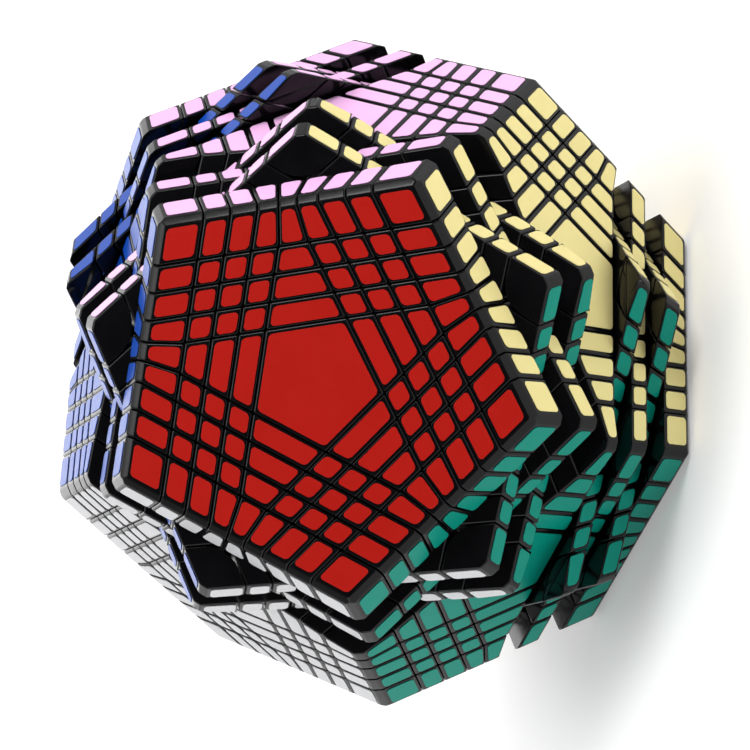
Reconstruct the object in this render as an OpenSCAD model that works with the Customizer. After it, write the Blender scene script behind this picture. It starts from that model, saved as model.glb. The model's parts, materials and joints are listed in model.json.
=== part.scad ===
// Dodecahedron twisty puzzle with nine rows of tiles along every edge.
// It stands on the sky-blue face, with the origin at the middle of that face's stickers and +Z up.
// Three faces that don't touch each other (red, orange and sky) have their slices turned.

/* [Overall size] */
// Length of one edge of the dodecahedron
edge = 61; // [61:0.5:66]

/* [Layers] */
// Thickness of the outer layer of each face
outer_layer = 9.25; // [9:0.05:9.3]
// Thickness of each of the three slices under it
slice = 5.5; // [5.3:0.05:5.5]
// Gap between neighbouring pieces
gap = 0.26; // [0.2:0.02:0.3]
// Steepness of the flared side of the narrow middle edge piece, in degrees
flare = 16.8; // [15:0.2:17]
// Bevel along the puzzle's edges, measured at right angles to it
bevel = 0.7; // [0.4:0.1:1.2]

/* [Stickers] */
// Thickness of a sticker
sticker_t = 0.2; // [0.15:0.05:0.3]
// Distance between neighbouring stickers
sticker_gap = 1.5; // [1.2:0.1:2]
// Distance of a sticker from the puzzle's edge
sticker_border = 1.8; // [1.4:0.1:2]
// Distance of a corner piece's sticker from the cuts beside it
corner_border = 1; // [0.6:0.1:1.2]

/* [How far each layer is turned, in degrees] */
// Red face: outer layer and slices 2 to 4
red_turns = [4.4, 37, 4, 36];
// Orange face: outer layer and slices 2 to 4
orange_turns = [-1.5, 33, -1, 34];
// Sky-blue face: outer layer and slices 2 to 4
sky_turns = [0, -36, 0, -36];

/* [Core] */
// Radius of the ball in the middle
ball_r = 16; // [14:0.5:18]
// Radius of each of its twelve arms
arm_r = 4; // [3.5:0.1:4.5]
// Radial clearance of a bore on an arm
clearance = 0.05; // [0.03:0.01:0.08]
// Radius of a screw's shank
screw_r = 1.5; // [1.2:0.1:1.8]
// Radius of a screw's head
head_r = 3.2; // [2.8:0.1:3.5]
// Thickness of the cap on a centre piece
cap_t = 1.2; // [1:0.1:1.5]

/* [Hidden] */
golden = (1 + sqrt(5)) / 2;
inradius = edge * golden * golden / (2 * sqrt(3 - golden));
midradius = edge * golden * golden / 2;
// Elevation of the normals of the upper and lower rings of faces
tilt = atan(0.5);
// Longer than the puzzle's radius
reach = 2.2 * edge;
half_gap = gap / 2;

// Height of each cut above the middle of the puzzle, from the face itself (0) to the last cut (4)
function cut(k) = k == 0 ? inradius : inradius - outer_layer - (k - 1) * slice;

RED = 1;
ORANGE = 3;
SKY = 11;
FACES = [for (f = [0:11]) f];
MOVING = [RED, ORANGE, SKY];
STILL = [for (f = FACES) if (len(search(f, MOVING)) == 0) f];
FACE_NAMES = ["blue", "red", "pink", "orange", "purple", "white",
              "cream", "yellow", "lime", "grey", "teal", "sky"];
PAINT = [[0.20, 0.43, 0.94], [0.74, 0.13, 0.11], [0.98, 0.84, 0.97], [0.93, 0.45, 0.10],
         [0.45, 0.22, 0.62], [0.90, 0.90, 0.91], [0.94, 0.89, 0.62], [0.95, 0.80, 0.12],
         [0.55, 0.78, 0.22], [0.50, 0.51, 0.53], [0.05, 0.60, 0.50], [0.45, 0.75, 0.93]];
PLASTIC = [0.06, 0.06, 0.07];
TURNS = [[], red_turns, [], orange_turns, [], [], [], [], [], [], [], sky_turns];

// Faces: 0 is on top, 1 to 5 the upper ring, 6 to 10 the lower ring and 11 underneath
function elevation(f) = f == 0 ? 90 : f < 6 ? tilt : f < 11 ? -tilt : -90;
function azimuth(f) = f == 0 ? -54 : f < 6 ? -90 + 72 * (f - 1) : f < 11 ? -54 + 72 * (f - 6) : 90;
function spin(f) = f > 5 && f < 11 ? 180 : 0;

function normal(f) = [cos(elevation(f)) * cos(azimuth(f)), cos(elevation(f)) * sin(azimuth(f)),
                      sin(elevation(f))];
// Direction from the middle of face f to its first corner, and the one at right angles to it
function corner_way(f) =
    let (s = cos(spin(f)))
    s * [sin(elevation(f)) * cos(azimuth(f)), sin(elevation(f)) * sin(azimuth(f)), -cos(elevation(f))];
function across(f) = cross(normal(f), corner_way(f));

// The neighbour of face f that lies i steps round it: the face whose normal points that way
function neighbour(f, i) =
    let (a = 36 + 72 * i,
         way = cos(tilt) * (cos(a) * corner_way(f) + sin(a) * across(f)) + sin(tilt) * normal(f))
    [for (g = FACES) if (normal(g) * way > 0.99) g][0];

// Angle round face f's axis at which the edge between faces g and h runs
function spoke(f, g, h) = atan2((normal(g) + normal(h)) * across(f), (normal(g) + normal(h)) * corner_way(f));

function is_moving(f) = len(search(f, MOVING)) > 0;

// Distance from face f's axis at which the flare of the narrow middle piece starts
side_now = (cut(0) - cut(4) * sin(tilt)) / cos(tilt);
side_then = (cut(1) - cut(4) * sin(tilt)) / cos(tilt);
flare_start = sqrt(side_now * side_now + side_then * side_then - 2 * side_now * side_then * cos(72)) / sin(72);

// Turns +Z to the outward normal of face f
module toward(f) {
    rotate([0, 90 - elevation(f), azimuth(f)]) rotate([0, 0, spin(f)]) children();
}

// Undoes toward(f)
module away(f) {
    rotate([0, 0, -spin(f)]) rotate([0, elevation(f) - 90, 0]) rotate([0, 0, -azimuth(f)]) children();
}

// Lifts the puzzle so that the sky-blue face's stickers lie at z = 0
module placed() {
    translate([0, 0, inradius + sticker_t]) children();
}

// Turns layer k of face f, where 1 is the outer layer
module turned(f, k) {
    toward(f) rotate([0, 0, TURNS[f][k - 1]]) away(f) children();
}

// Everything between two heights above the middle, measured along face f's normal
module slab(f, low, high) {
    toward(f) translate([-reach, -reach, low]) cube([2 * reach, 2 * reach, high - low]);
}

// The common part of several slabs, each [face, low, high]
module cell(slabs) {
    intersection_for (s = slabs) slab(s[0], s[1], s[2]);
}

// Row k of tiles beside neighbour n, and what lies past its last cut, with half a gap m at each cut
function row(n, k, m) = [n, cut(k) + m, cut(k - 1) - m];
function past(n, m) = [n, -reach, cut(4) - m];

// Below the flared side of the narrow middle piece on the edge between faces f and g
module below_flare(p, f, g, m) {
    toward(p) rotate([0, 0, spoke(p, f, g)]) translate([flare_start, 0, cut(4) - m])
        rotate([0, -flare, 0]) translate([-reach, -reach, -2 * reach]) cube(2 * reach);
}

// Above the same side
module above_flare(p, f, g, m) {
    toward(p) rotate([0, 0, spoke(p, f, g)]) translate([flare_start, 0, cut(4) + m])
        rotate([0, -flare, 0]) translate([-reach, -reach, 0]) cube(2 * reach);
}

// The flared rim that lets slice 4 of face f turn past the narrow middle pieces
module flared_rim(f, m) {
    foot = cut(4) + m - flare_start * tan(flare);
    toward(f) translate([0, 0, foot]) cylinder(h = reach * tan(flare), r1 = 0, r2 = reach, $fn = 120);
}

// What lies inside the bevel between faces f and g
module inside_bevel(f, g) {
    way = normal(f) + normal(g);
    rotate([0, acos(way[2] / norm(way)), atan2(way[1], way[0])])
        translate([-reach, -reach, -reach]) cube([2 * reach, 2 * reach, reach + midradius - bevel]);
}

// ---- Face tiles: the rows beside each neighbour, as lists of slabs ----

function squares(f, m, skip) = [
    for (i = [0:4], k = [2:4], j = [2:4])
        let (n = neighbour(f, i), o = neighbour(f, i + 1))
        if (!skip || !(is_moving(n) || is_moving(o)))
            [row(n, k, m), row(o, j, m)]
];

function trapezoids(f, m, skip) = [
    for (i = [0:4], k = [2:4])
        let (n = neighbour(f, i))
        if (!skip || !is_moving(n))
            [row(n, k, m), past(neighbour(f, i + 1), m), past(neighbour(f, i + 4), m)]
];

function pentagon(f, m) = [for (i = [0:4]) past(neighbour(f, i), m)];

// The seven tiles of face g that lie in slice k of face f
function slice_tiles(f, g, k, m) =
    let (i = [for (j = [0:4]) if (neighbour(g, j) == f) j][0],
         left = neighbour(g, i + 4),
         right = neighbour(g, i + 1))
    concat([[row(f, k, m), past(left, m), past(right, m)]],
           [for (side = [left, right], j = [2:4]) [row(f, k, m), row(side, j, m)]]);

// ---- Edge pieces ----

// Tile t of the edge between faces f and g, counted from its middle: 0 is the narrow one,
// positive ones lie towards face p and negative ones towards face q
module edge_cell(f, g, p, q, t, m) {
    end = t > 0 ? p : q;
    k = 5 - abs(t);
    intersection() {
        if (t == 0) {
            intersection() {
                below_flare(p, f, g, m);
                below_flare(q, f, g, m);
            }
        } else {
            intersection() {
                slab(end, abs(t) == 1 ? 0 : cut(k) + m, cut(k - 1) - m);
                if (abs(t) == 1) above_flare(end, f, g, m);
            }
        }
        children();
    }
}

// An edge piece's plastic body
module edge_piece(f, g, p, q, t) {
    edge_cell(f, g, p, q, t, half_gap) {
        intersection() {
            cell([[f, cut(1) + half_gap, cut(0)], [g, cut(1) + half_gap, cut(0)]]);
            inside_bevel(f, g);
        }
    }
}

// An edge piece's sticker on face f
module edge_sticker(f, g, p, q, t) {
    edge_cell(f, g, p, q, t, sticker_gap / 2)
        cell([sticker_level(f), [g, cut(1) + sticker_gap / 2, cut(0) - sticker_border]]);
}

function sticker_level(f) = [f, cut(0), cut(0) + sticker_t];

// The end faces of the edge between face f and its neighbour i
function end_faces(f, i) = [neighbour(f, i + 4), neighbour(f, i + 1)];

// The edges that lie on no turning face, each as [f, g, p, q]
FREE_EDGES = [
    for (f = STILL, i = [0:4])
        let (g = neighbour(f, i), ends = end_faces(f, i))
        if (g > f && !is_moving(g)) [f, g, ends[0], ends[1]]
];

// A tile of a free edge belongs to the still part unless it lies in a turning slice
function is_still(e, t) = t == 0 || (t > 0 ? !is_moving(e[2]) : !is_moving(e[3]));

// ---- Corner pieces ----

module corner_piece(f, g, h) {
    intersection() {
        cell([for (n = [f, g, h]) [n, cut(1) + half_gap, cut(0)]]);
        inside_bevel(f, g);
        inside_bevel(g, h);
        inside_bevel(h, f);
    }
}

module corner_sticker(f, g, h) {
    cell([sticker_level(f), for (n = [g, h]) [n, cut(1) + corner_border, cut(0) - sticker_border]]);
}

// The corners of face f, each as [f, g, h]
function corners_of(f) = [for (i = [0:4]) [f, neighbour(f, i), neighbour(f, i + 1)]];

function is_free(c) = !is_moving(c[0]) && !is_moving(c[1]) && !is_moving(c[2]);

// ---- Centre pieces, with the screw, spring and arm that hold them ----

// Play between parts that don't run on each other
play = 0.2;
arm_root = 0.8 * ball_r;
// An arm ends inside its centre piece, under the seat that the spring presses on
arm_depth = 2;
arm_top = cut(1) + arm_depth;
seat_t = 1.5;
seat_low = arm_top + play / 2;
seat_high = seat_low + seat_t;
spring_len = 2.3;
wire = 0.45;
head_low = seat_high + spring_len + play;
head_t = 1.3;
// Room round the screw's head and the spring
pocket_r = head_r + 1;
// The cross slot in the screw's head
slot_len = 4;
slot_w = 0.7;
slot_depth = 0.8;

module centre_piece(f) {
    difference() {
        cell(concat([[f, cut(1) + half_gap, cut(0) - cap_t]], pentagon(f, half_gap)));
        toward(f) cylinder(h = seat_low, r = arm_r + clearance, $fn = 64);
        toward(f) cylinder(h = reach, r = screw_r + play, $fn = 48);
        toward(f) translate([0, 0, seat_high]) cylinder(h = reach, r = pocket_r, $fn = 64);
    }
}

module centre_cap(f) {
    cell(concat([[f, cut(0) - cap_t, cut(0)]], pentagon(f, half_gap)));
}

module screw(f) {
    toward(f) {
        translate([0, 0, ball_r]) cylinder(h = head_low - ball_r, r = screw_r, $fn = 48);
        translate([0, 0, head_low]) difference() {
            cylinder(h = head_t, r = head_r, $fn = 64);
            for (a = [0, 90])
                rotate([0, 0, a])
                    translate([-slot_len / 2, -slot_w / 2, head_t - slot_depth]) cube([slot_len, slot_w, head_t]);
        }
    }
}

SPRING_TURNS = 3;
SPRING_STEPS = 10;
function spring_ring(n, r) =
    let (a = 360 * n / SPRING_STEPS,
         z = wire + (spring_len - 2 * wire) * n / (SPRING_TURNS * SPRING_STEPS),
         way = [cos(a), sin(a), 0])
    [for (c = [[-1, -1], [1, -1], [1, 1], [-1, 1]]) (r + c[0] * wire / 2) * way + [0, 0, z + c[1] * wire / 2]];

// A short coil spring of square wire
module spring(f) {
    rings = SPRING_TURNS * SPRING_STEPS;
    points = [for (n = [0:rings]) each spring_ring(n, (head_r + screw_r) / 2)];
    walls = [for (n = [0:rings - 1], s = [0:3]) each [
        [4 * n + s, 4 * n + (s + 1) % 4, 4 * n + 4 + s],
        [4 * n + (s + 1) % 4, 4 * n + 4 + (s + 1) % 4, 4 * n + 4 + s]
    ]];
    last = 4 * rings;
    ends = [[0, 2, 1], [0, 3, 2], [last, last + 1, last + 2], [last, last + 2, last + 3]];
    toward(f) translate([0, 0, seat_high]) polyhedron(points = points, faces = concat(walls, ends));
}

// ---- Parts of the still body ----

module core() {
    color("dimgray") placed() difference() {
        union() {
            sphere(r = ball_r, $fn = 64);
            for (f = FACES)
                toward(f) translate([0, 0, arm_root]) cylinder(h = arm_top - arm_root, r = arm_r, $fn = 64);
        }
        for (f = FACES)
            toward(f) translate([0, 0, ball_r]) cylinder(h = reach, r = screw_r + clearance, $fn = 48);
    }
}

module screws() {
    color("silver") placed() for (f = FACES) screw(f);
}

module springs() {
    color("gainsboro") placed() for (f = FACES) spring(f);
}

// Stands for the hidden feet of the still pieces
module inner_body() {
    color(PLASTIC) placed() difference() {
        cell([for (f = FACES) [f, -reach, (is_moving(f) ? cut(4) : cut(1)) - half_gap]]);
        sphere(r = ball_r + play, $fn = 64);
        for (f = FACES)
            toward(f) translate([0, 0, arm_root]) cylinder(h = reach, r = arm_r + play, $fn = 64);
    }
}

module corners() {
    color(PLASTIC) placed()
        for (f = STILL, c = corners_of(f))
            if (is_free(c) && f < c[1] && f < c[2]) corner_piece(c[0], c[1], c[2]);
}

module edges() {
    color(PLASTIC) placed()
        for (e = FREE_EDGES, t = [-3:3])
            if (is_still(e, t)) edge_piece(e[0], e[1], e[2], e[3], t);
}

module face_blocks() {
    color(PLASTIC) placed()
        for (f = STILL, tile = concat(squares(f, half_gap, true), trapezoids(f, half_gap, true)))
            cell(concat([[f, cut(1) + half_gap, cut(0)]], tile));
}

module centres() {
    color(PLASTIC) placed() for (f = STILL) centre_piece(f);
}

module centre_caps() {
    color(PLASTIC) placed() for (f = STILL) centre_cap(f);
}

// The stickers of face f that don't turn
module still_stickers(f) {
    m = sticker_gap / 2;
    color(PAINT[f]) placed() {
        for (tile = concat(squares(f, m, true), trapezoids(f, m, true), [pentagon(f, m)]))
            cell(concat([sticker_level(f)], tile));
        for (i = [0:4], t = [-3:3]) {
            g = neighbour(f, i);
            ends = end_faces(f, i);
            if (!is_moving(g) && is_still([f, g, ends[0], ends[1]], t))
                edge_sticker(f, g, ends[0], ends[1], t);
        }
        for (c = corners_of(f))
            if (is_free(c)) corner_sticker(c[0], c[1], c[2]);
    }
}

// ---- Parts of the outer layer of face f ----

module outer_corners(f) {
    color(PLASTIC) placed() turned(f, 1)
        for (c = corners_of(f)) corner_piece(c[0], c[1], c[2]);
}

module outer_edges(f) {
    color(PLASTIC) placed() turned(f, 1)
        for (i = [0:4], t = [-3:3])
            edge_piece(f, neighbour(f, i), end_faces(f, i)[0], end_faces(f, i)[1], t);
}

module outer_blocks(f) {
    color(PLASTIC) placed() turned(f, 1)
        for (tile = concat(squares(f, half_gap, false), trapezoids(f, half_gap, false)))
            cell(concat([[f, cut(1) + half_gap, cut(0)]], tile));
}

module outer_centre(f) {
    color(PLASTIC) placed() turned(f, 1) centre_piece(f);
}

module outer_cap(f) {
    color(PLASTIC) placed() turned(f, 1) centre_cap(f);
}

module outer_face_stickers(f) {
    m = sticker_gap / 2;
    color(PAINT[f]) placed() turned(f, 1) {
        for (tile = concat(squares(f, m, false), trapezoids(f, m, false), [pentagon(f, m)]))
            cell(concat([sticker_level(f)], tile));
        for (i = [0:4], t = [-3:3])
            edge_sticker(f, neighbour(f, i), end_faces(f, i)[0], end_faces(f, i)[1], t);
        for (c = corners_of(f)) corner_sticker(c[0], c[1], c[2]);
    }
}

module outer_side_stickers(f) {
    placed() turned(f, 1)
        for (i = [0:4]) {
            g = neighbour(f, i);
            ends = end_faces(f, i);
            color(PAINT[g]) {
                for (t = [-3:3]) edge_sticker(g, f, ends[0], ends[1], t);
                corner_sticker(g, f, ends[0]);
                corner_sticker(g, f, ends[1]);
            }
        }
}

// ---- Parts of slice k of face f ----

// The slice's five edge pieces, one at each corner
module wings(f, k) {
    for (i = [0:4]) {
        g = neighbour(f, i);
        h = neighbour(f, i + 1);
        intersection() {
            cell([row(f, k, half_gap), [g, cut(1) + half_gap, cut(0)], [h, cut(1) + half_gap, cut(0)]]);
            inside_bevel(g, h);
            if (k == 4) flared_rim(f, half_gap);
        }
    }
}

// The wheel inside the slice that its outer pieces sit on, with its bore round the core's arm
module carrier(f, k) {
    difference() {
        cell(concat([row(f, k, half_gap)], [for (i = [0:4]) [neighbour(f, i), -reach, cut(1) - half_gap]]));
        toward(f) cylinder(h = reach, r = arm_r + clearance, $fn = 64);
    }
}

module slice_pieces(f, k) {
    color(PLASTIC) placed() turned(f, k) {
        wings(f, k);
        for (i = [0:4], tile = slice_tiles(f, neighbour(f, i), k, half_gap))
            cell(concat([[neighbour(f, i), cut(1) + half_gap, cut(0)]], tile));
        carrier(f, k);
    }
}

module slice_stickers(f, k) {
    m = sticker_gap / 2;
    placed() turned(f, k)
        for (i = [0:4]) {
            g = neighbour(f, i);
            color(PAINT[g]) {
                for (tile = slice_tiles(f, g, k, m)) cell(concat([sticker_level(g)], tile));
                for (h = end_faces(f, i))
                    intersection() {
                        cell([sticker_level(g), row(f, k, m), [h, cut(1) + m, cut(0) - sticker_border]]);
                        if (k == 4) above_flare(f, g, h, m);
                    }
            }
        }
}

core();
screws();
springs();
inner_body();
corners();
edges();
face_blocks();
centres();
centre_caps();
for (f = STILL)
    still_stickers(f);
for (f = MOVING) {
    outer = str(FACE_NAMES[f], "_outer_");
    outer_corners(f);
    outer_edges(f);
    outer_blocks(f);
    outer_centre(f);
    outer_cap(f);
    outer_face_stickers(f);
    outer_side_stickers(f);
    for (k = [2:4]) {
        layer = str(FACE_NAMES[f], "_slice_", k);
        slice_pieces(f, k);
        slice_stickers(f, k);
    }
}
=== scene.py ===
"""Looks of the dodecahedron twisty puzzle: moulded black tiles with soft edges, vinyl stickers.

Metres, in the row frame: the puzzle stands on its sky-blue face, with +Z up.
"""
import json
import math
from collections import Counter

import bmesh
import bpy
from mathutils import Matrix, Vector


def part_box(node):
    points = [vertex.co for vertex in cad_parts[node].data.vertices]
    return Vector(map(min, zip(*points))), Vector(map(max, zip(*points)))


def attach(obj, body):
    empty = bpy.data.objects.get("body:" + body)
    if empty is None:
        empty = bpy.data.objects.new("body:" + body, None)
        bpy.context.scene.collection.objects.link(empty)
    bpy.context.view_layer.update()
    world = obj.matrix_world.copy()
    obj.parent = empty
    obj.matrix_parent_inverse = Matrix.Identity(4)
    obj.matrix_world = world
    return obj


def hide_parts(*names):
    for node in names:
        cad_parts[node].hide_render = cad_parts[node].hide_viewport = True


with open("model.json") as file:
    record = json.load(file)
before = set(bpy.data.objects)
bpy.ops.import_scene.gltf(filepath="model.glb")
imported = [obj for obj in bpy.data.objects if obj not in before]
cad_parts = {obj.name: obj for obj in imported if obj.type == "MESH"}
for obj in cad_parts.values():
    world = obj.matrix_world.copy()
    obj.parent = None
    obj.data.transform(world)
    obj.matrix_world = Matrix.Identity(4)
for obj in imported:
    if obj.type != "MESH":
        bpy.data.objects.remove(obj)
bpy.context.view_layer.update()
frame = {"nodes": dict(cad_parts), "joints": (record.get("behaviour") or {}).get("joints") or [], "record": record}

MM = 0.001

# ---- The puzzle's own measures, from the frame ----

joints = {j["child"]: j for j in frame["joints"]}
bodies = frame["record"]["behaviour"]["bodies"]
slots = {s["node"]: s["material_slot"] for s in frame["record"]["subparts"]}
centre = Vector(frame["joints"][0]["pos_m"])
# Distances from the puzzle's centre: the stickers' outer faces, the tiles' faces and the
# outer tiles' undersides
sticker_level = centre.z
sticker_low, sticker_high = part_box("stickers_blue")
tile_level = sticker_level - (sticker_high.z - sticker_low.z)
under_level = centre.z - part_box("sky_outer_corners")[1].z

# The middles of the twelve faces, seen from the centre: elevation is above the horizon
RING_TILT = math.degrees(math.atan(0.5))
UPPER_RING = ("red", "pink", "orange", "purple", "white")
LOWER_RING = ("cream", "yellow", "lime", "grey", "teal")


def direction(azimuth, elevation):
    """Unit vector: azimuth is measured from +X towards +Y, in degrees."""
    a, e = math.radians(azimuth), math.radians(elevation)
    return Vector((math.cos(e) * math.cos(a), math.cos(e) * math.sin(a), math.sin(e)))


normals = {"blue": Vector((0, 0, 1)), "sky": Vector((0, 0, -1))}
for i, name in enumerate(UPPER_RING):
    normals[name] = direction(-90 + 72 * i, RING_TILT)
for i, name in enumerate(LOWER_RING):
    normals[name] = direction(-54 + 72 * i, -RING_TILT)

# How far each layer is turned at rest, outer layer first, in degrees
TURNS = {"red": (4.4, 37, 4, 36), "orange": (-1.5, 33, -1, 34), "sky": (0, -36, 0, -36)}
LAYERS = ("outer", "slice_2", "slice_3", "slice_4")


def home_face(normal, body):
    """The face whose colour a sticker with this outward normal has, with its layer turned back."""
    if body in joints:
        colour, layer = body.split("_", 1)
        turn = TURNS[colour][LAYERS.index(layer)]
        axis = Vector(joints[body]["axis"])
        normal = Matrix.Rotation(math.radians(-turn), 3, axis) @ normal
    return max(normals, key=lambda face: normals[face].dot(normal))


# ---- Camera ----

# Fitted to the photo: where the camera stands, and which way it looks, both seen from the puzzle
CAMERA_DISTANCE = 0.7567
CAMERA_FROM = direction(-84.622, 16.19)
LOOKING_BACK = direction(-84.494, 16.268)
CAMERA_ROLL = math.radians(78.321)
CAMERA_LENS = 144.5


def make_camera():
    """Looks at the red face, with the blue face to the left and the sky-blue face to the right."""
    data = bpy.data.cameras.new("camera")
    data.lens = CAMERA_LENS
    data.sensor_width = 36
    data.clip_start = 0.05
    data.clip_end = 50
    camera = bpy.data.objects.new("camera", data)
    bpy.context.scene.collection.objects.link(camera)
    level = (-LOOKING_BACK).to_track_quat("-Z", "Y").to_matrix()
    turned = level @ Matrix.Rotation(-CAMERA_ROLL, 3, "Z")
    place = Matrix.Translation(centre + CAMERA_FROM * CAMERA_DISTANCE)
    camera.matrix_world = place @ turned.to_4x4()
    bpy.context.scene.camera = camera
    return camera


camera = make_camera()
view_up, view_back = (camera.matrix_world.to_3x3().col[i].copy() for i in (1, 2))

# ---- Materials ----

bpy.context.scene.view_settings.view_transform = "Standard"


def new_material(name):
    """A material with an empty Principled shader, and its nodes and links."""
    mat = bpy.data.materials.new(name)
    mat.use_nodes = True
    tree = mat.node_tree
    return mat, tree.nodes, tree.links, tree.nodes["Principled BSDF"]


def noise(nodes, links, scale, detail=2.0):
    """Noise fixed to the piece, scale in repeats per metre."""
    place = nodes.new("ShaderNodeTexCoord")
    made = nodes.new("ShaderNodeTexNoise")
    made.inputs["Scale"].default_value = scale
    made.inputs["Detail"].default_value = detail
    links.new(place.outputs["Object"], made.inputs["Vector"])
    return made


def spread(nodes, links, source, low, high):
    """Maps a noise's middle values to the range low to high."""
    made = nodes.new("ShaderNodeMapRange")
    made.inputs["From Min"].default_value = 0.3
    made.inputs["From Max"].default_value = 0.7
    made.inputs["To Min"].default_value = low
    made.inputs["To Max"].default_value = high
    links.new(source.outputs["Fac"], made.inputs["Value"])
    return made.outputs["Result"]


def blend_colours(nodes, links, source, first, second):
    """A colour that drifts from first to second with the noise."""
    made = nodes.new("ShaderNodeMix")
    made.data_type = "RGBA"
    made.inputs["A"].default_value = (*first, 1)
    made.inputs["B"].default_value = (*second, 1)
    links.new(spread(nodes, links, source, 0, 1), made.inputs["Factor"])
    return made.outputs["Result"]


def grain(nodes, links, shader, scale, depth, strength):
    """Fine relief of the surface: depth in metres."""
    bump = nodes.new("ShaderNodeBump")
    bump.inputs["Distance"].default_value = depth
    bump.inputs["Strength"].default_value = strength
    links.new(noise(nodes, links, scale, 3).outputs["Fac"], bump.inputs["Height"])
    links.new(bump.outputs["Normal"], shader.inputs["Normal"])


def black_plastic():
    """Satin moulded ABS: a faint mottle in its gloss, and a fine spark-eroded grain."""
    mat, nodes, links, shader = new_material("moulded_black_plastic")
    patches = noise(nodes, links, 120)
    dark, light = (0.0028, 0.0028, 0.0034), (0.0045, 0.0045, 0.0052)
    colour = blend_colours(nodes, links, patches, dark, light)
    links.new(colour, shader.inputs["Base Color"])
    gloss = noise(nodes, links, 260)
    links.new(spread(nodes, links, gloss, 0.15, 0.21), shader.inputs["Roughness"])
    shader.inputs["Specular IOR Level"].default_value = 0.19
    grain(nodes, links, shader, 5000, 0.00001, 0.25)
    return mat


def core_plastic():
    """Grey moulded nylon of the core."""
    mat, nodes, links, shader = new_material("moulded_core_plastic")
    patches = noise(nodes, links, 90)
    colour = blend_colours(nodes, links, patches, (0.09, 0.09, 0.095), (0.12, 0.12, 0.125))
    links.new(colour, shader.inputs["Base Color"])
    gloss = noise(nodes, links, 300)
    links.new(spread(nodes, links, gloss, 0.45, 0.6), shader.inputs["Roughness"])
    grain(nodes, links, shader, 3000, 0.00002, 0.3)
    return mat


def steel():
    """Zinc-plated steel of the screws and springs."""
    mat, nodes, links, shader = new_material("zinc_plated_steel")
    patches = noise(nodes, links, 400)
    colour = blend_colours(nodes, links, patches, (0.50, 0.50, 0.52), (0.62, 0.62, 0.63))
    links.new(colour, shader.inputs["Base Color"])
    shader.inputs["Metallic"].default_value = 1.0
    gloss = noise(nodes, links, 900)
    links.new(spread(nodes, links, gloss, 0.22, 0.36), shader.inputs["Roughness"])
    grain(nodes, links, shader, 6000, 0.000005, 0.2)
    return mat


# The stickers' colours, linear
STICKER_COLOURS = {
    "blue": (0.003, 0.065, 0.420),
    "red": (0.440, 0.012, 0.008),
    "pink": (0.900, 0.500, 0.830),
    "orange": (0.850, 0.190, 0.012),
    "purple": (0.170, 0.035, 0.340),
    "white": (0.710, 0.710, 0.725),
    "cream": (0.800, 0.700, 0.305),
    "yellow": (0.870, 0.600, 0.012),
    "grey": (0.210, 0.215, 0.225),
    "lime": (0.270, 0.570, 0.040),
    "teal": (0.001, 0.250, 0.185),
    "sky": (0.170, 0.520, 0.850),
}
# How strongly the film mirrors. The blue face is seen at a glancing angle and is pale in the photo,
# so its value is set to match that
FILM_SPECULAR = 0.1
BLUE_FILM_SPECULAR = 0.35


def sticker_vinyl(name):
    """Satin vinyl film: one even colour with a faint drift, and a fine emboss."""
    mat, nodes, links, shader = new_material(f"vinyl_{name}")
    full = STICKER_COLOURS[name]
    darker = tuple(c * 0.95 for c in full)
    colour = blend_colours(nodes, links, noise(nodes, links, 70), darker, full)
    links.new(colour, shader.inputs["Base Color"])
    gloss = noise(nodes, links, 500)
    links.new(spread(nodes, links, gloss, 0.31, 0.36), shader.inputs["Roughness"])
    specular = BLUE_FILM_SPECULAR if name == "blue" else FILM_SPECULAR
    shader.inputs["Specular IOR Level"].default_value = specular
    grain(nodes, links, shader, 7000, 0.000004, 0.1)
    return mat


plastic = black_plastic()
vinyls = {name: sticker_vinyl(name) for name in STICKER_COLOURS}

# ---- Shapes ----

# Points of a CAD mesh this close are one
SAME_POINT = 0.001 * MM
# A plane this close to a level is at it
SAME_LEVEL = 0.02 * MM
# Flat sides bend by less than this between their triangles, in degrees
FLAT_BEND = 0.5


def flat_sided(node):
    """A CAD node's solids with one face to each flat side, relative to the puzzle's centre."""
    bm = bmesh.new()
    bm.from_mesh(frame["nodes"][node].data)
    bmesh.ops.translate(bm, verts=bm.verts, vec=-centre)
    bmesh.ops.remove_doubles(bm, verts=bm.verts, dist=SAME_POINT)
    bmesh.ops.dissolve_limit(
        bm, angle_limit=math.radians(FLAT_BEND), verts=bm.verts, edges=bm.edges, delimit={"NORMAL"}
    )
    bm.normal_update()
    return bm


def level(face):
    """Distance of a face's plane from the puzzle's centre."""
    return face.normal.dot(face.verts[0].co)


def is_at(face, distance):
    return abs(level(face) - distance) < SAME_LEVEL


def piece_from(bm, name, body, mat, slot, *nodes):
    """Makes an object of a mesh built round the puzzle's centre, and fixes it to its body."""
    bmesh.ops.translate(bm, verts=bm.verts, vec=centre)
    mesh = bpy.data.meshes.new(name)
    bm.to_mesh(mesh)
    bm.free()
    mesh.polygons.foreach_set("use_smooth", [True] * len(mesh.polygons))
    mesh.materials.append(mat)
    piece = bpy.data.objects.new(name, mesh)
    bpy.context.scene.collection.objects.link(piece)
    shading = piece.modifiers.new("even_faces", "WEIGHTED_NORMAL")
    shading.keep_sharp = True
    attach(piece, body)
    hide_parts(*nodes)
    return piece


# Wide enough to turn the CAD's bevel along the puzzle's edges into a round band
EDGE_ROUNDING = 0.42 * MM
EDGE_STEPS = 3
# An edge piece's inner corner, towards the middle of the puzzle
INNER_ROUNDING = 5.5 * MM
INNER_STEPS = 6
# Bores and rims have shorter edges than this, or bend less at each, in degrees
SHORTEST_ROUNDED = 1.0 * MM
SHARP_BEND = 25


def round_edges(bm, edges, offset, segments):
    if not edges:
        return
    bmesh.ops.bevel(
        bm, geom=edges, affect="EDGES", offset=offset, offset_type="OFFSET", segments=segments,
        profile=0.5, clamp_overlap=False, loop_slide=True, miter_outer="SHARP", miter_inner="SHARP",
    )
    bm.normal_update()


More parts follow.
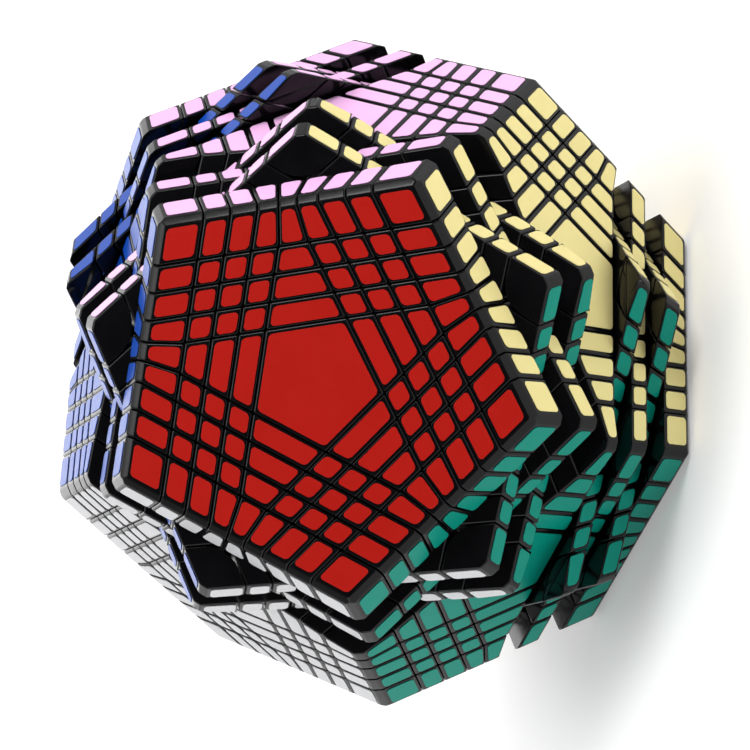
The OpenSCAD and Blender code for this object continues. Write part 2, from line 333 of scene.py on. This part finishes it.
def inner_corners(bm):
    """Where an edge piece's two undersides meet. A corner piece has three such edges: they stay."""
    found = [
        e for e in bm.edges
        if e.is_manifold and all(is_at(f, -under_level) for f in e.link_faces)
    ]
    meeting = Counter(v for e in found for v in e.verts)
    return [e for e in found if all(meeting[v] == 1 for v in e.verts)]


def sharp_edges(bm):
    """The edges where two flat sides meet, apart from those of bores."""
    bend = math.radians(SHARP_BEND)
    return [
        e for e in bm.edges
        if e.is_manifold and e.calc_length() > SHORTEST_ROUNDED and e.calc_face_angle() > bend
    ]


def tiles(node, body):
    """A node's tiles: soft edges, round bands along the puzzle's edges, rounded inner corners."""
    bm = flat_sided(node)
    round_edges(bm, inner_corners(bm), INNER_ROUNDING, INNER_STEPS)
    round_edges(bm, sharp_edges(bm), EDGE_ROUNDING, EDGE_STEPS)
    return piece_from(bm, f"soft_{node}", body, plastic, "black_plastic", node)


# How far from its corners a sticker's straight sides end, and the width of its soft rim
STICKER_ROUNDING = 1.05 * MM
STICKER_RIM = 0.06 * MM
CORNER_STEPS = 5
# The most of a side that one corner's rounding may take
CORNER_SHARE = 0.45


def rounded(points, normal, radius, inset):
    """A polygon's outline, inset, with round corners. Points run anticlockwise round the normal."""
    n = len(points)
    walls = []
    for i in range(n):
        along = (points[(i + 1) % n] - points[i]).normalized()
        walls.append((points[i] + normal.cross(along) * inset, along))
    corners = []
    for i in range(n):
        (p, u), (q, v) = walls[i - 1], walls[i]
        s = (q - p).cross(v).dot(normal) / u.cross(v).dot(normal)
        corners.append(p + u * s)
    outline = []
    for i in range(n):
        before, here, after = corners[i - 1], corners[i], corners[(i + 1) % n]
        u, v = (before - here), (after - here)
        room = CORNER_SHARE * min(u.length, v.length)
        u.normalize()
        v.normalize()
        half = u.angle(v) / 2
        tangent = min(radius, room)
        r = tangent * math.tan(half)
        middle = here + (u + v).normalized() * (tangent / math.cos(half))
        start = here + u * tangent - middle
        turn = math.pi - 2 * half
        for k in range(CORNER_STEPS + 1):
            outline.append(middle + Matrix.Rotation(turn * k / CORNER_STEPS, 3, normal) @ start)
    return outline


def add_sticker(bm, points, normal):
    """One sticker on the tile below it, from the outline of its outer face."""
    thickness = sticker_level - tile_level
    foot = rounded(points, normal, STICKER_ROUNDING, 0)
    top = rounded(points, normal, STICKER_ROUNDING, STICKER_RIM)
    rings = [
        [p - normal * thickness for p in foot],
        [p - normal * STICKER_RIM for p in foot],
        top,
    ]
    made = [[bm.verts.new(p) for p in ring] for ring in rings]
    for low, high in zip(made, made[1:]):
        for i in range(len(low)):
            j = (i + 1) % len(low)
            bm.faces.new((low[i], low[j], high[j], high[i]))
    bm.faces.new(made[-1])
    bm.faces.new(reversed(made[0]))


def stickers(node, body):
    """A node's stickers, one piece for each colour."""
    bm = flat_sided(node)
    made = {}
    for face in bm.faces:
        if is_at(face, sticker_level):
            colour = home_face(face.normal, body)
            made.setdefault(colour, bmesh.new())
            add_sticker(made[colour], [v.co.copy() for v in face.verts], face.normal.copy())
    bm.free()
    for colour, mesh in made.items():
        name = f"{body}_{colour}_stickers"
        piece_from(mesh, name, body, vinyls[colour], f"sticker_{colour}", node)


for body, nodes in bodies.items():
    for node in nodes:
        if "stickers" in node:
            stickers(node, body)
        elif slots[node] == "black_plastic" and node != "inner_body":
            tiles(node, body)

# The hidden pieces keep their CAD shapes
HIDDEN = {"core": core_plastic(), "screws": steel(), "inner_body": plastic}
HIDDEN["springs"] = HIDDEN["screws"]
for node, mat in HIDDEN.items():
    frame["nodes"][node].material_slots[0].material = mat

# ---- Floor and light ----

# Half the floor's side, and the light it gives off itself, set to reach the photo's white
FLOOR_REACH = 12
FLOOR_GLOW = 0.3


def make_floor():
    """A wide plain pale floor."""
    mat, _, _, shader = new_material("pale_floor")
    shader.inputs["Base Color"].default_value = (0.86, 0.86, 0.86, 1)
    shader.inputs["Roughness"].default_value = 0.9
    shader.inputs["Specular IOR Level"].default_value = 0.1
    shader.inputs["Emission Color"].default_value = (1, 1, 1, 1)
    shader.inputs["Emission Strength"].default_value = FLOOR_GLOW
    corners = [(x * FLOOR_REACH, y * FLOOR_REACH, 0) for x, y in ((-1, -1), (1, -1), (1, 1), (-1, 1))]
    mesh = bpy.data.meshes.new("floor")
    mesh.from_pydata(corners, [], [(0, 1, 2, 3)])
    mesh.materials.append(mat)
    floor = bpy.data.objects.new("floor", mesh)
    bpy.context.scene.collection.objects.link(floor)


def softbox(name, way, light, size=0.9, distance=1.3):
    """A square lamp facing the puzzle. light is how bright it makes a white surface facing it."""
    data = bpy.data.lights.new(name, "AREA")
    data.size = size
    data.energy = light * (math.pi * distance) ** 2
    lamp = bpy.data.objects.new(name, data)
    bpy.context.scene.collection.objects.link(lamp)
    way = way.normalized()
    facing = way.to_track_quat("Z", "Y").to_matrix().to_4x4()
    lamp.matrix_world = Matrix.Translation(centre + way * distance) @ facing


# Where the studio is dim and where it is bright, as the Y of the direction looked in
DIM_BELOW, BRIGHT_ABOVE = -0.7, 0.4


def make_surroundings(front, back):
    """A white studio, bright behind the puzzle (+Y) and dim on the camera's side."""
    world = bpy.data.worlds.new("studio")
    bpy.context.scene.world = world
    world.use_nodes = True
    nodes, links = world.node_tree.nodes, world.node_tree.links
    way = nodes.new("ShaderNodeTexCoord")
    apart = nodes.new("ShaderNodeSeparateXYZ")
    bright = nodes.new("ShaderNodeMapRange")
    bright.interpolation_type = "SMOOTHSTEP"
    bright.inputs["From Min"].default_value = DIM_BELOW
    bright.inputs["From Max"].default_value = BRIGHT_ABOVE
    bright.inputs["To Min"].default_value = front
    bright.inputs["To Max"].default_value = back
    links.new(way.outputs["Generated"], apart.inputs["Vector"])
    links.new(apart.outputs["Y"], bright.inputs["Value"])
    links.new(bright.outputs["Result"], nodes["Background"].inputs["Strength"])
    nodes["Background"].inputs["Color"].default_value = (1, 1, 1, 1)


overhead = Vector((0, 0, 1))
make_floor()
make_surroundings(front=0.03, back=0.8)
softbox("overhead", overhead + view_back * 0.1, 0.5)
softbox("above", view_up * 0.7 + view_back * 0.53 + overhead * 0.33, 0.5, size=0.5)
softbox("below", -view_up * 0.85 + view_back * 0.4 + overhead * 0.2, 0.16, size=0.6)
softbox("behind", overhead * 0.3 - view_back, 0.6, size=1.4)
